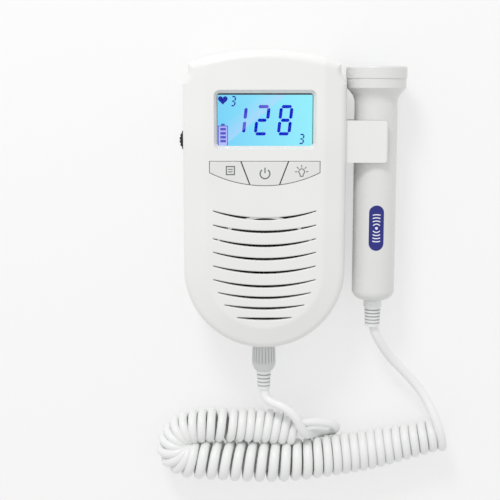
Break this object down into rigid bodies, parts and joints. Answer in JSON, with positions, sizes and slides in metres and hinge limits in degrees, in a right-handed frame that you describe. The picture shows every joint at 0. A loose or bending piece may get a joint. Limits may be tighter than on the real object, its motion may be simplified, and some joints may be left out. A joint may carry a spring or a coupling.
{
  "type": "fetal doppler monitor",
  "caption": "Hand-held fetal doppler monitor: console with display, keys, speaker and volume wheel, and a clip-on probe on a curly cord.",
  "frame": {"origin": "on the flat back face, under the middle of the console's plan", "axes": "+X towards the side with the probe clip, +Y towards the console's top end, +Z out of its front"},
  "size_m": [0.1388, 0.2079, 0.0341],
  "materials": {
    "case_white": "fine satin",
    "probe_white": "fine satin",
    "key_white": "satin with printed signs",
    "window_clear": "polished",
    "lcd_glass": "lit liquid crystal",
    "backlight_white": "diffusing",
    "frame_black": "moulded",
    "wheel_black": "knurled",
    "board_green": "solder mask",
    "chip_black": "moulded",
    "screw_steel": "zinc plated",
    "spring_steel": "nickel plated",
    "cell_wrap": "plain printed wrap",
    "speaker_metal": "black paint",
    "magnet_grey": "sintered",
    "cone_dark": "pressed pulp",
    "gasket_black": "foam",
    "face_grey": "soft sounding face",
    "label_blue": "printed film",
    "crystal_ceramic": "silvered",
    "plug_white": "moulded",
    "cord_white": "soft vinyl"
  },
  "bodies": {
    "console": {"front_shell": "case_white", "back_shell": "case_white", "probe_clip": "case_white", "display_window": "window_clear", "lcd_panel": "lcd_glass", "lcd_backlight": "backlight_white", "lcd_frame": "frame_black", "earphone_socket": "frame_black", "probe_socket": "frame_black", "volume_pot": "frame_black", "main_board": "board_green", "board_parts": "chip_black", "key_switches": "chip_black", "case_screws": "screw_steel", "board_screws": "screw_steel", "clip_screws": "screw_steel", "battery_springs": "spring_steel", "battery_plates": "spring_steel", "batteries": "cell_wrap", "speaker_frame": "speaker_metal", "speaker_magnet": "magnet_grey", "speaker_cone": "cone_dark", "speaker_gasket": "gasket_black", "cord_plug_end": "cord_white", "cord_curl": "cord_white", "cord_probe_end": "cord_white"},
    "menu_key": {"key_menu": "key_white"},
    "power_key": {"key_power": "key_white"},
    "light_key": {"key_light": "key_white"},
    "volume_wheel": {"volume_wheel": "wheel_black"},
    "battery_door": {"battery_door": "case_white"},
    "probe": {"probe_handle": "probe_white", "probe_cap": "probe_white", "probe_face": "face_grey", "probe_label": "label_blue", "crystal_pair": "crystal_ceramic", "crystal_holder": "frame_black", "probe_board": "board_green", "probe_strain_relief": "cord_white"},
    "plug": {"plug_shell": "plug_white", "plug_contacts": "spring_steel", "plug_boot": "cord_white"}
  },
  "joints": [
    {"name": "menu_press", "type": "slide", "parent": "console", "child": "menu_key", "axis": [0, 0, -1], "range_m": [0, 0.0008], "stiffness_N_per_m": 600},
    {"name": "power_press", "type": "slide", "parent": "console", "child": "power_key", "axis": [0, 0, -1], "range_m": [0, 0.0008], "stiffness_N_per_m": 600},
    {"name": "light_press", "type": "slide", "parent": "console", "child": "light_key", "axis": [0, 0, -1], "range_m": [0, 0.0008], "stiffness_N_per_m": 600},
    {"name": "volume_turn", "type": "hinge", "parent": "console", "child": "volume_wheel", "pos_m": [-0.0312, 0.0281, 0.0186], "axis": [0, 0, 1], "range_deg": [-135, 135]},
    {"name": "door_slide", "type": "slide", "parent": "console", "child": "battery_door", "axis": [0, 1, 0], "range_m": [0, 0.064]},
    {"name": "probe_pull", "type": "slide", "parent": "console", "child": "probe", "axis": [1, 0, 0], "range_m": [0, 0.016]},
    {"name": "plug_pull", "type": "slide", "parent": "console", "child": "plug", "axis": [0, -1, 0], "range_m": [0, 0.0058]}
  ]
}
